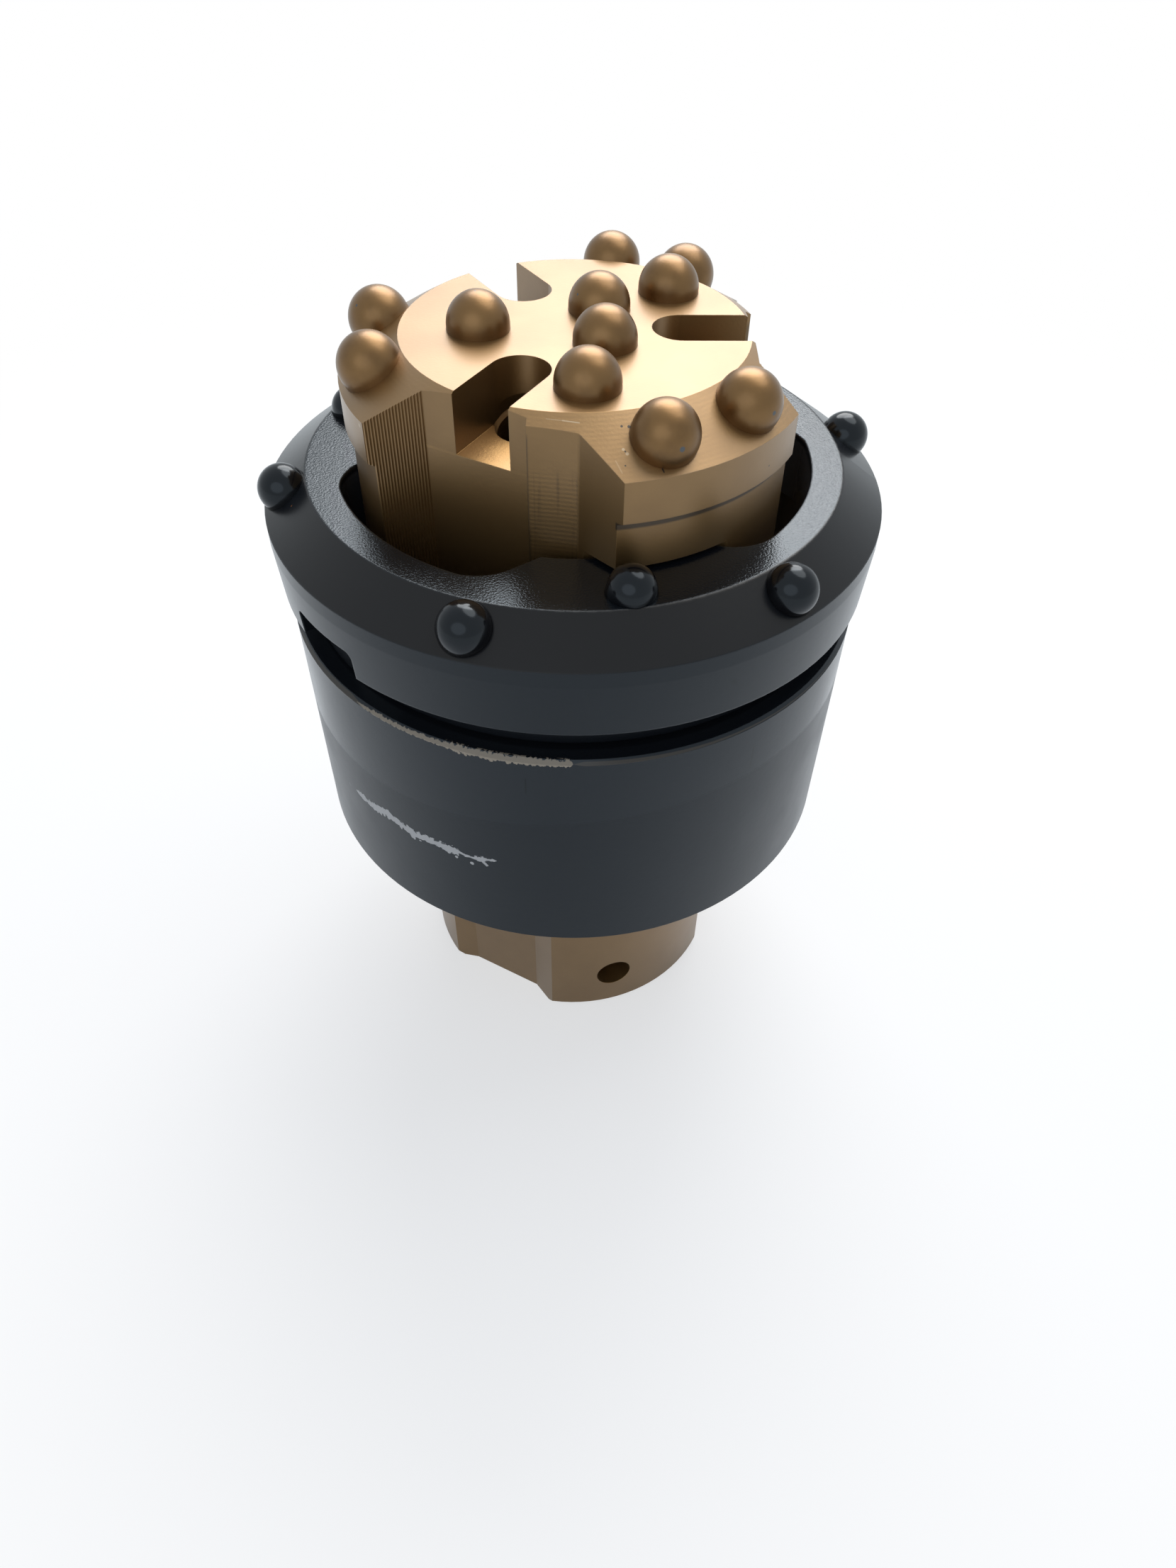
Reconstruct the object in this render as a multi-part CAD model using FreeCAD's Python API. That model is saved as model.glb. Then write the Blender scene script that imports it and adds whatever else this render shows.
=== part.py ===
"""Concentric casing drilling head: pilot bit, ring bit, casing shoe and locking ring.

Millimetres, +Z up. The origin is the centre of the pilot bit's rear face, on which the
set stands with its cutting face up. Azimuths are degrees from +X, counterclockwise
seen from above. The driving dimensions come first, then what is worked out from them,
then one function for each piece.
"""
import FreeCAD, Part
import math
import os

# Pilot bit: stub, collar, guide, core and head. The guide's radius drives the set.
GUIDE_RADIUS = 57.9
STUB_OVER_CORE = 2.0
STUB_CHAMFER = 1.5
COLLAR_STEP = 3.0
COLLAR_HEIGHT = 11.5
COLLAR_CONE = 6.0
COLLAR_LIFT = 37.5
HEAD_PROUD = 30.5
WING_PLAY = 3.6
WING_BEVEL_WIDTH = 14.4
WING_BEVEL_DROP = 8.1
WING_BAND = 9.6
WING_STEP = 1.4
WING_STEP_CHAMFER = 0.8

# Pilot bit: the three flutes, measured across (u) and outwards (v) from the axis
BLADE_COUNT = 3
FLUTE_AZIMUTH = -119.0
FLUTE_DROP = 5.2
FLUTE_LEFT = -14.3
FLUTE_LEFT_ANGLE = 143.0
FLUTE_RIGHT = 11.2
FLUTE_RIGHT_ANGLE = 65.0
RIDGE_COUNT = 20
RIDGE_PITCH = 0.69
RIDGE_DEPTH = 0.25
STUB_FLAT_LEFT = -14.7
STUB_LEFT_ANGLE = 163.0
STUB_FLAT_RIGHT = 8.7
STUB_RIGHT_ANGLE = 25.5
RELIEF_ACROSS = 22.4
RELIEF_DROP = 2.0
RELIEF_FLAT_ANGLE = 161.5
RELIEF_FLANK_ANGLE = 16.2
RELIEF_CORNER_RADIUS = 1.2

# Pilot bit: face slots, flushing channels and rear socket
SLOT_WIDTH = 13.8
SLOT_END = 17.6
SLOT_DEPTH = 14.2
FLUSH_RADIUS = 6.8
FLUSH_TILT = 20.0
FLUSH_MOUTH = 22.8
FLUSH_RIM = 0.9
CENTRE_BORE_RADIUS = 17.0
CENTRE_BORE_TOP = 178.0
SOCKET_WALL = 14.8
SOCKET_DEPTH = 62.0
SOCKET_CHAMFER = 2.0
CROSS_HOLE_RADIUS = 5.6
CROSS_HOLE_HEIGHT = 16.0
CROSS_HOLE_AZIMUTH = -73.5

# Ring bit
RING_OVERSIZE = 2.2
RING_FLANGE_HEIGHT = 18.2
RING_GAUGE_BAND = 4.0
RING_RELIEF = 0.93
RING_BEVEL_WIDTH = 10.8
RING_BEVEL_DROP = 7.8
RING_RIM_WIDTH = 7.5
RING_NECK_HEIGHT = 8.6
RING_EDGE_ROUND = 0.7
SKIRT_WALL = 7.6
SKIRT_LENGTH = 24.4
LUG_COUNT = 3
LUG_AZIMUTH = -78.4
LUG_REACH = 11.7
LUG_HEIGHT = 17.6
LUG_HALF_ANGLE = 20.6
LUG_SIDE_ANGLE = 65.4
LUG_CORNER_RADIUS = 11.8
SPANNER_NOTCH_AZIMUTH = -139.3
SPANNER_NOTCH_COUNT = 2
SPANNER_NOTCH_WIDTH = 22.4
SPANNER_NOTCH_HEIGHT = 7.4
SPANNER_NOTCH_ROUND = 2.0

# Casing shoe, with the socket for a 139.7 mm casing tube
SHOE_BOTTOM = 74.0
SHOE_LENGTH = 68.0
SHOE_WALL = 8.5
SHOE_TAPER = 0.4
SHOE_CHAMFER = 1.0
SHOE_REAR_CHAMFER = 0.8
SHOE_OVER_CASING = 4.95
CASING_CLEARANCE = 0.25
CASING_SOCKET_DEPTH = 18.0
SHOE_SHOULDER = 6.0

# Locking ring
LOCK_DEPTH = 16.0
LOCK_HEIGHT = 8.0
LOCK_GRIP = 2.4
LOCK_SPLIT_GAP = 1.2

# Hard-metal buttons
PILOT_BUTTON_RADIUS = 7.3
PILOT_BUTTON_PROUD = 1.1
PILOT_FACE_BUTTON_DEPTH = 10.0
PILOT_INNER_PLACES = (10.5, 11.6)
PILOT_OUTER_INSETS = (18.3, 11.1, 9.7)
PILOT_FACE_AZIMUTHS = (182.6, -84.7, -50.4, 61.0, 42.9)
PILOT_GAUGE_BUTTON_DEPTH = 8.0
PILOT_GAUGE_INSET = 6.6
PILOT_GAUGE_AZIMUTHS = (-67.1, -39.1, 54.0, 78.6, 167.2, 197.0)
RING_BUTTON_RADIUS = 6.0
RING_BUTTON_PROUD = 0.7
RING_BUTTON_DEPTH = 9.0
RING_GAUGE_INSET = 5.1
RING_GAUGE_BUTTON_COUNT = 6
RING_GAUGE_BUTTON_AZIMUTH = -168.6
LUG_BUTTON_RADIUS = 5.6

# Clearances
RUNNING = 0.3
SEAT = 0.3
LUG_CLEARANCE = 0.4
LUG_TIP_CLEARANCE = 0.9
PILOT_GUIDE_CLEARANCE = 0.5
UNDER_WING = 1.0
RING_GAP = 1.0
CUT_ALLOWANCE = 20.0
TINY = 0.01

# Heights, from the shoe up to the cutting face
SHOE_TOP = SHOE_BOTTOM + SHOE_LENGTH
LOCK_BOTTOM = SHOE_TOP - LOCK_DEPTH
RING_NECK_BOTTOM = SHOE_TOP + RING_GAP
SKIRT_BOTTOM = RING_NECK_BOTTOM - SKIRT_LENGTH
RING_UNDERSIDE = RING_NECK_BOTTOM + RING_NECK_HEIGHT
RING_GAUGE_TOP = RING_UNDERSIDE + RING_FLANGE_HEIGHT
RING_FACE_TOP = RING_GAUGE_TOP + RING_BEVEL_DROP
LUG_BOTTOM = RING_FACE_TOP - LUG_HEIGHT
COLLAR_TOP = SHOE_BOTTOM + COLLAR_LIFT
COLLAR_BOTTOM = COLLAR_TOP - COLLAR_HEIGHT
SHOE_SHOULDER_BOTTOM = COLLAR_TOP + SEAT
SHOE_SHOULDER_TOP = SHOE_SHOULDER_BOTTOM + SHOE_SHOULDER
GUIDE_TOP = LUG_BOTTOM - SEAT
WING_UNDERSIDE = RING_FACE_TOP + UNDER_WING
HEAD_TOP = RING_FACE_TOP + HEAD_PROUD
WING_BEVEL_BOTTOM = HEAD_TOP - WING_BEVEL_DROP
WING_BAND_BOTTOM = WING_BEVEL_BOTTOM - WING_BAND
SLOT_FLOOR = HEAD_TOP - SLOT_DEPTH
MODEL_TOP = HEAD_TOP + CUT_ALLOWANCE

# Radii, from the pilot's guide inwards and outwards
RING_BORE_RADIUS = GUIDE_RADIUS + PILOT_GUIDE_CLEARANCE
SHOE_BORE_RADIUS = GUIDE_RADIUS + PILOT_GUIDE_CLEARANCE
COLLAR_RADIUS = GUIDE_RADIUS + COLLAR_STEP
SHOE_COLLAR_BORE_RADIUS = COLLAR_RADIUS + PILOT_GUIDE_CLEARANCE
LUG_INNER_RADIUS = RING_BORE_RADIUS - LUG_REACH
CORE_RADIUS = LUG_INNER_RADIUS - LUG_TIP_CLEARANCE
STUB_RADIUS = CORE_RADIUS + STUB_OVER_CORE
SOCKET_RADIUS = STUB_RADIUS - SOCKET_WALL
FLUTE_FLOOR = CORE_RADIUS - FLUTE_DROP
FLUTE_REACH = GUIDE_RADIUS + CUT_ALLOWANCE
RELIEF_CORNER = (RELIEF_ACROSS, FLUTE_FLOOR - RELIEF_DROP)
WING_RADIUS = RING_BORE_RADIUS - WING_PLAY
WING_LOW_RADIUS = WING_RADIUS - WING_STEP
FACE_RADIUS = WING_RADIUS - WING_BEVEL_WIDTH
PILOT_GAUGE_PLACE = FACE_RADIUS + PILOT_GAUGE_INSET
SKIRT_RADIUS = RING_BORE_RADIUS + SKIRT_WALL
SHOE_COUNTERBORE_RADIUS = SKIRT_RADIUS + RUNNING
LOCK_INNER_RADIUS = SKIRT_RADIUS - LOCK_GRIP
LOCK_OUTER_RADIUS = SHOE_COUNTERBORE_RADIUS + LOCK_GRIP
SHOE_TOP_RADIUS = SHOE_COUNTERBORE_RADIUS + SHOE_WALL
SHOE_BOTTOM_RADIUS = SHOE_TOP_RADIUS - SHOE_TAPER
CASING_RADIUS = SHOE_TOP_RADIUS - SHOE_OVER_CASING
RING_GAUGE_RADIUS = SHOE_TOP_RADIUS + RING_OVERSIZE
RING_NECK_RADIUS = RING_GAUGE_RADIUS - RING_RIM_WIDTH
RING_FACE_RADIUS = RING_GAUGE_RADIUS - RING_BEVEL_WIDTH
RING_GAUGE_PLACE = RING_FACE_RADIUS + RING_GAUGE_INSET
LUG_BUTTON_PLACE = RING_FACE_RADIUS - LUG_BUTTON_RADIUS


def place(distance, azimuth, height):
    """Point at a distance from the axis, in a direction, at a height."""
    angle = math.radians(azimuth)
    return FreeCAD.Vector(distance * math.cos(angle), distance * math.sin(angle), height)


def across(point, azimuth, height):
    """Point given across (u) and outwards (v) in the frame that looks along azimuth."""
    u, v = point
    angle = math.radians(azimuth)
    x = v * math.cos(angle) - u * math.sin(angle)
    y = v * math.sin(angle) + u * math.cos(angle)
    return FreeCAD.Vector(x, y, height)


def step_from(point, angle, length):
    """Point reached from a (u, v) point along an angle measured from +u."""
    turn = math.radians(angle)
    return (point[0] + length * math.cos(turn), point[1] + length * math.sin(turn))


def cylinder(radius, bottom, top):
    """Upright cylinder on the axis."""
    return Part.makeCylinder(radius, top - bottom, FreeCAD.Vector(0, 0, bottom))


def turned(profile):
    """Solid turned about Z from (radius, height) points."""
    points = [FreeCAD.Vector(radius, 0, height) for radius, height in profile]
    points.append(points[0])
    face = Part.Face(Part.makePolygon(points))
    return face.revolve(FreeCAD.Vector(0, 0, 0), FreeCAD.Vector(0, 0, 1), 360)


def prism(edges, bottom, top):
    """Upright prism over a closed outline drawn at the bottom height."""
    face = Part.Face(Part.Wire(edges))
    return face.extrude(FreeCAD.Vector(0, 0, top - bottom))


def outline(points, azimuth, height):
    """Straight edges through (u, v) points, closed."""
    corners = [across(point, azimuth, height) for point in points]
    corners.append(corners[0])
    return [Part.makeLine(start, end) for start, end in zip(corners[:-1], corners[1:])]


def evenly(first, count):
    """Azimuths of count places spaced evenly round the axis."""
    return [first + index * 360.0 / count for index in range(count)]


def one_solid(shape):
    """The single solid that a cut or a union leaves."""
    return shape.removeSplitter().Solids[0]


def button_parts(radius, proud, depth, foot, direction):
    """Button with a round end, and the seat that it is pressed into."""
    seat_bottom = foot - direction * depth
    shank = Part.makeCylinder(radius, depth + proud, seat_bottom, direction)
    ball = Part.makeSphere(radius, foot + direction * proud)
    button = one_solid(shank.fuse(ball.cut(Part.makeCylinder(
        2 * radius, 2 * radius, foot + direction * (proud - 2 * radius), direction))))
    seat = Part.makeCylinder(radius, depth + 2 * radius, seat_bottom, direction)
    return button, seat


def on_bevel(edge_radius, edge_height, slope, radius, azimuth):
    """Foot on a bevel that falls by slope per mm outwards, and the outward normal there."""
    foot = place(radius, azimuth, edge_height - slope * (radius - edge_radius))
    lean = math.degrees(math.atan(slope))
    normal = place(math.sin(math.radians(lean)), azimuth, math.cos(math.radians(lean)))
    return foot, normal


def pilot_buttons():
    """Names, buttons and seats of the pilot bit's face row and gauge row."""
    rows = []
    size = (PILOT_BUTTON_RADIUS, PILOT_BUTTON_PROUD)
    left, front, right = [FACE_RADIUS - inset for inset in PILOT_OUTER_INSETS]
    places = (left, front, *PILOT_INNER_PLACES, right)
    for number, (distance, azimuth) in enumerate(zip(places, PILOT_FACE_AZIMUTHS), 1):
        foot = place(distance, azimuth, HEAD_TOP)
        button, seat = button_parts(
            *size, PILOT_FACE_BUTTON_DEPTH, foot, FreeCAD.Vector(0, 0, 1))
        rows.append(("pilot_face_button_%d" % number, button, seat))
    slope = WING_BEVEL_DROP / WING_BEVEL_WIDTH
    for number, azimuth in enumerate(PILOT_GAUGE_AZIMUTHS, 1):
        foot, normal = on_bevel(FACE_RADIUS, HEAD_TOP, slope, PILOT_GAUGE_PLACE, azimuth)
        button, seat = button_parts(*size, PILOT_GAUGE_BUTTON_DEPTH, foot, normal)
        rows.append(("pilot_gauge_button_%d" % number, button, seat))
    return rows


def ring_buttons():
    """Names, buttons and seats of the ring bit's gauge row and of its lugs."""
    rows = []
    slope = RING_BEVEL_DROP / RING_BEVEL_WIDTH
    azimuths = evenly(RING_GAUGE_BUTTON_AZIMUTH, RING_GAUGE_BUTTON_COUNT)
    for number, azimuth in enumerate(azimuths, 1):
        foot, normal = on_bevel(
            RING_FACE_RADIUS, RING_FACE_TOP, slope, RING_GAUGE_PLACE, azimuth)
        button, seat = button_parts(
            RING_BUTTON_RADIUS, RING_BUTTON_PROUD, RING_BUTTON_DEPTH, foot, normal)
        rows.append(("ring_gauge_button_%d" % number, button, seat))
    for number, azimuth in enumerate(evenly(LUG_AZIMUTH, LUG_COUNT), 1):
        foot = place(LUG_BUTTON_PLACE, azimuth, RING_FACE_TOP)
        button, seat = button_parts(
            LUG_BUTTON_RADIUS, RING_BUTTON_PROUD, RING_BUTTON_DEPTH, foot,
            FreeCAD.Vector(0, 0, 1))
        rows.append(("ring_lug_button_%d" % number, button, seat))
    return rows


def ridged_flank(start, azimuth, height):
    """Corners of the flute's left flank, milled in a row of shallow upright ridges."""
    corners = [start]
    for _ in range(RIDGE_COUNT):
        after = step_from(corners[-1], FLUTE_LEFT_ANGLE, RIDGE_PITCH)
        middle = step_from(corners[-1], FLUTE_LEFT_ANGLE, RIDGE_PITCH / 2)
        corners.append(step_from(middle, FLUTE_LEFT_ANGLE + 90.0, RIDGE_DEPTH))
        corners.append(after)
    return corners


def flute(azimuth, bottom, top, ridged):
    """Full flute: a flat floor between an opening left flank and a short right wall."""
    corners = [(FLUTE_LEFT, FLUTE_FLOOR)]
    if ridged:
        corners = ridged_flank(corners[0], azimuth, bottom)
    left_far = step_from((FLUTE_LEFT, FLUTE_FLOOR), FLUTE_LEFT_ANGLE, FLUTE_REACH)
    right_foot = (FLUTE_RIGHT, FLUTE_FLOOR)
    right_far = step_from(right_foot, FLUTE_RIGHT_ANGLE, FLUTE_REACH)
    corners += [left_far, (left_far[0], 2 * FLUTE_REACH), (right_far[0], 2 * FLUTE_REACH),
                right_far, right_foot]
    return prism(outline(corners, azimuth, bottom), bottom, top)


def stub_flat(azimuth):
    """Flat on the rear stub, in line with a flute, between two sloping walls."""
    bottom, top = -1.0, COLLAR_BOTTOM - COLLAR_CONE
    left_foot = (STUB_FLAT_LEFT, FLUTE_FLOOR)
    right_foot = (STUB_FLAT_RIGHT, FLUTE_FLOOR)
    left_far = step_from(left_foot, STUB_LEFT_ANGLE, FLUTE_REACH)
    right_far = step_from(right_foot, STUB_RIGHT_ANGLE, FLUTE_REACH)
    corners = [right_foot, left_foot, left_far, (left_far[0], 2 * FLUTE_REACH),
               (right_far[0], 2 * FLUTE_REACH), right_far]
    return prism(outline(corners, azimuth, bottom), bottom, top)


def relief(azimuth, bottom, top):
    """Second flat beside the flute, and the leading flank of the next wing."""
    inner = step_from(RELIEF_CORNER, RELIEF_FLAT_ANGLE, FLUTE_FLOOR / 2)
    outer = step_from(RELIEF_CORNER, RELIEF_FLANK_ANGLE, FLUTE_REACH)
    points = [inner, RELIEF_CORNER, outer, (outer[0], 2 * FLUTE_REACH),
              (inner[0], 2 * FLUTE_REACH)]
    block = prism(outline(points, azimuth, bottom), bottom, top)
    corner = across(RELIEF_CORNER, azimuth, bottom)
    upright = [edge for edge in block.Edges
               if all(math.hypot(v.X - corner.x, v.Y - corner.y) < TINY for v in edge.Vertexes)]
    return block.makeFillet(RELIEF_CORNER_RADIUS, upright)


def face_slot(azimuth):
    """Round-ended slot in the pilot bit's face, open at the flute."""
    half = SLOT_WIDTH / 2
    centre = SLOT_END + half
    bottom, top = SLOT_FLOOR, MODEL_TOP
    left = across((-half, centre), azimuth, bottom)
    right = across((half, centre), azimuth, bottom)
    end = across((0, SLOT_END), azimuth, bottom)
    far_left = across((-half, FLUTE_REACH), azimuth, bottom)
    far_right = across((half, FLUTE_REACH), azimuth, bottom)
    edges = [Part.Arc(left, end, right).toShape(), Part.makeLine(right, far_right),
             Part.makeLine(far_right, far_left), Part.makeLine(far_left, left)]
    return prism(edges, bottom, top)


def flush_channel(azimuth):
    """Slanted water and air channel from the centre bore to the floor of a slot."""
    lean = math.radians(FLUSH_TILT)
    direction = place(math.sin(lean), azimuth, math.cos(lean))
    mouth = place(FLUSH_MOUTH, azimuth, SLOT_FLOOR)
    start = mouth - direction * (FLUSH_MOUTH / math.sin(lean))
    reach = FLUSH_MOUTH / math.sin(lean) + SLOT_DEPTH / 2
    channel = Part.makeCylinder(FLUSH_RADIUS, reach, start, direction)
    rim = Part.makeCone(FLUSH_RADIUS, FLUSH_RADIUS + 2 * FLUSH_RIM, 2 * FLUSH_RIM,
                        mouth - direction * FLUSH_RIM, direction)
    return channel.fuse(rim)


def lug_pocket(azimuth):
    """Room under one wing for a lug of the ring bit, open to the flute beside it."""
    bottom, top = GUIDE_TOP, WING_UNDERSIDE
    away = place(1.0, azimuth + LUG_SIDE_ANGLE - 90.0, 0)
    direction = place(1.0, azimuth + LUG_SIDE_ANGLE, 0)
    corner = place(LUG_INNER_RADIUS, azimuth + LUG_HALF_ANGLE, bottom)
    start = corner - away * LUG_CLEARANCE - direction * FLUTE_FLOOR / 2
    end = corner - away * LUG_CLEARANCE + direction * FLUTE_FLOOR
    back = place(2 * FLUTE_REACH, azimuth, bottom)
    open_side = place(2 * FLUTE_REACH, azimuth - 45.0, bottom)
    centre = FreeCAD.Vector(0, 0, bottom)
    corners = [start, end, back, open_side, centre, start]
    edges = [Part.makeLine(a, b) for a, b in zip(corners[:-1], corners[1:])]
    return prism(edges, bottom, top).cut(cylinder(CORE_RADIUS, bottom - 1.0, top + 1.0))


def pilot_bit(seats):
    """Pilot bit: stub, collar, guide, core and winged head, turned, then milled."""
    chamfer_foot = WING_BAND_BOTTOM - WING_STEP_CHAMFER
    profile = [
        (0.0, 0.0), (STUB_RADIUS - STUB_CHAMFER, 0.0), (STUB_RADIUS, STUB_CHAMFER),
        (STUB_RADIUS, COLLAR_BOTTOM - COLLAR_CONE), (COLLAR_RADIUS, COLLAR_BOTTOM),
        (COLLAR_RADIUS, COLLAR_TOP), (GUIDE_RADIUS, COLLAR_TOP), (GUIDE_RADIUS, GUIDE_TOP),
        (WING_LOW_RADIUS, GUIDE_TOP), (WING_LOW_RADIUS, chamfer_foot),
        (WING_RADIUS, WING_BAND_BOTTOM), (WING_RADIUS, WING_BEVEL_BOTTOM),
        (FACE_RADIUS, HEAD_TOP), (0.0, HEAD_TOP)]
    body = turned(profile)
    cutters = []
    for azimuth in evenly(FLUTE_AZIMUTH, BLADE_COUNT):
        cutters.append(stub_flat(azimuth))
        cutters.append(flute(azimuth, COLLAR_BOTTOM - COLLAR_CONE, GUIDE_TOP, False))
        cutters.append(flute(azimuth, GUIDE_TOP, MODEL_TOP, True))
        cutters.append(relief(azimuth, GUIDE_TOP, MODEL_TOP))
        cutters.append(face_slot(azimuth))
        cutters.append(flush_channel(azimuth))
    for azimuth in evenly(LUG_AZIMUTH, LUG_COUNT):
        cutters.append(lug_pocket(azimuth))
    cutters.append(cylinder(CENTRE_BORE_RADIUS, 0.0, CENTRE_BORE_TOP))
    cutters.append(cylinder(SOCKET_RADIUS, -1.0, SOCKET_DEPTH))
    cutters.append(Part.makeCone(SOCKET_RADIUS + SOCKET_CHAMFER, SOCKET_RADIUS, SOCKET_CHAMFER))
    cutters.append(Part.makeCylinder(
        CROSS_HOLE_RADIUS, STUB_RADIUS, place(SOCKET_RADIUS / 2, CROSS_HOLE_AZIMUTH,
                                              CROSS_HOLE_HEIGHT),
        place(1.0, CROSS_HOLE_AZIMUTH, 0)))
    for cutter in cutters + seats:
        body = body.cut(cutter)
    return one_solid(body)


def opening_edges(height):
    """Inner outline of the ring bit: three lugs between round-cornered passages."""
    edges = []
    bore = RING_BORE_RADIUS
    for azimuth in evenly(LUG_AZIMUTH, LUG_COUNT):
        ends = []
        for sign in (-1, 1):
            corner = place(LUG_INNER_RADIUS, azimuth + sign * LUG_HALF_ANGLE, height)
            direction = place(1.0, azimuth + sign * LUG_SIDE_ANGLE, 0)
            away = place(1.0, azimuth + sign * (LUG_SIDE_ANGLE + 90.0), 0)
            base = FreeCAD.Vector(corner.x, corner.y, 0) + away * LUG_CORNER_RADIUS
            reach = bore - LUG_CORNER_RADIUS
            half = base.dot(direction)
            run = -half + math.sqrt(half * half - base.dot(base) + reach * reach)
            centre = base + direction * run
            on_side = corner + direction * run
            on_bore = centre * (bore / reach) + FreeCAD.Vector(0, 0, height)
            bisector = (on_side + on_bore) * 0.5 - centre
            bisector.z = 0
            bisector.normalize()
            middle = centre + bisector * LUG_CORNER_RADIUS + FreeCAD.Vector(0, 0, height)
            ends.append((corner, on_side, middle, on_bore))
        left, right = ends
        edges.append(Part.Arc(left[3], left[2], left[1]).toShape())
        edges.append(Part.makeLine(left[1], left[0]))
        tip = place(LUG_INNER_RADIUS, azimuth, height)
        edges.append(Part.Arc(left[0], tip, right[0]).toShape())
        edges.append(Part.makeLine(right[0], right[1]))
        edges.append(Part.Arc(right[1], right[2], right[3]).toShape())
        passage = place(bore, azimuth + 180.0 / LUG_COUNT, height)
        after = right[3]
        turn = 360.0 / LUG_COUNT
        start_next = FreeCAD.Rotation(FreeCAD.Vector(0, 0, 1), turn).multVec(left[3])
        edges.append(Part.Arc(after, passage, start_next).toShape())
    return edges


def spanner_notch(azimuth):
    """Notch in the ring bit's lower rim, for the spanner that turns it."""
    half = SPANNER_NOTCH_WIDTH / 2
    bottom = RING_UNDERSIDE - 1.0
    top = RING_UNDERSIDE + SPANNER_NOTCH_HEIGHT
    block = Part.makeBox(RING_GAUGE_RADIUS, 2 * half, top - bottom,
                         FreeCAD.Vector(RING_NECK_RADIUS, -half, bottom))
    roof = [edge for edge in block.Edges
            if all(abs(v.Z - top) < TINY for v in edge.Vertexes)
            and abs(edge.Vertexes[0].Y - edge.Vertexes[1].Y) < TINY]
    block = block.makeFillet(SPANNER_NOTCH_ROUND, roof)
    block.rotate(FreeCAD.Vector(0, 0, 0), FreeCAD.Vector(0, 0, 1), azimuth)
    return block


def ring_bit(seats):
    """Ring bit: bevelled head with lugs, neck and the skirt that runs in the shoe."""
    gauge_foot = RING_GAUGE_TOP - RING_GAUGE_BAND
    groove_bottom = LOCK_BOTTOM - RUNNING
    groove_top = LOCK_BOTTOM + LOCK_HEIGHT + RUNNING
    groove_radius = LOCK_INNER_RADIUS - RUNNING
    inner = LUG_INNER_RADIUS / 2
    profile = [
        (inner, SKIRT_BOTTOM), (SKIRT_RADIUS, SKIRT_BOTTOM), (SKIRT_RADIUS, groove_bottom),
        (groove_radius, groove_bottom), (groove_radius, groove_top),
        (SKIRT_RADIUS, groove_top), (SKIRT_RADIUS, RING_NECK_BOTTOM),
        (RING_NECK_RADIUS, RING_NECK_BOTTOM), (RING_NECK_RADIUS, RING_UNDERSIDE),
        (RING_GAUGE_RADIUS - RING_RELIEF, RING_UNDERSIDE), (RING_GAUGE_RADIUS, gauge_foot),
        (RING_GAUGE_RADIUS, RING_GAUGE_TOP), (RING_FACE_RADIUS, RING_FACE_TOP),
        (inner, RING_FACE_TOP)]
    body = turned(profile)
    body = body.cut(cylinder(RING_BORE_RADIUS, SKIRT_BOTTOM - 1.0, LUG_BOTTOM))
    body = body.cut(prism(opening_edges(LUG_BOTTOM), LUG_BOTTOM, RING_FACE_TOP + 1.0))
    rims = []
    for edge in body.Edges:
        at_face = all(abs(v.Z - RING_FACE_TOP) < TINY for v in edge.Vertexes)
        if at_face and abs(edge.BoundBox.ZMax - edge.BoundBox.ZMin) < TINY:
            rims.append(edge)
    body = body.makeFillet(RING_EDGE_ROUND, rims)
    for azimuth in evenly(SPANNER_NOTCH_AZIMUTH, SPANNER_NOTCH_COUNT):
        body = body.cut(spanner_notch(azimuth))
    for seat in seats:
        body = body.cut(seat)
    return one_solid(body)


def casing_shoe():
    """Casing shoe: tube socket at the rear, pilot shoulder, counterbore and lock groove."""
    socket_radius = CASING_RADIUS + CASING_CLEARANCE
    socket_top = SHOE_BOTTOM + CASING_SOCKET_DEPTH
    groove_radius = LOCK_OUTER_RADIUS
    profile = [
        (socket_radius, SHOE_BOTTOM), (SHOE_BOTTOM_RADIUS - SHOE_REAR_CHAMFER, SHOE_BOTTOM),
        (SHOE_BOTTOM_RADIUS, SHOE_BOTTOM + SHOE_REAR_CHAMFER),
        (SHOE_TOP_RADIUS, SHOE_TOP - SHOE_CHAMFER),
        (SHOE_TOP_RADIUS - SHOE_CHAMFER, SHOE_TOP), (SHOE_COUNTERBORE_RADIUS, SHOE_TOP),
        (SHOE_COUNTERBORE_RADIUS, LOCK_BOTTOM + LOCK_HEIGHT),
        (groove_radius, LOCK_BOTTOM + LOCK_HEIGHT), (groove_radius, LOCK_BOTTOM),
        (SHOE_COUNTERBORE_RADIUS, LOCK_BOTTOM), (SHOE_COUNTERBORE_RADIUS, SHOE_SHOULDER_TOP),
        (SHOE_BORE_RADIUS, SHOE_SHOULDER_TOP), (SHOE_BORE_RADIUS, SHOE_SHOULDER_BOTTOM),
        (SHOE_COLLAR_BORE_RADIUS, SHOE_SHOULDER_BOTTOM),
        (SHOE_COLLAR_BORE_RADIUS, socket_top), (socket_radius, socket_top)]
    return one_solid(turned(profile))


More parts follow.
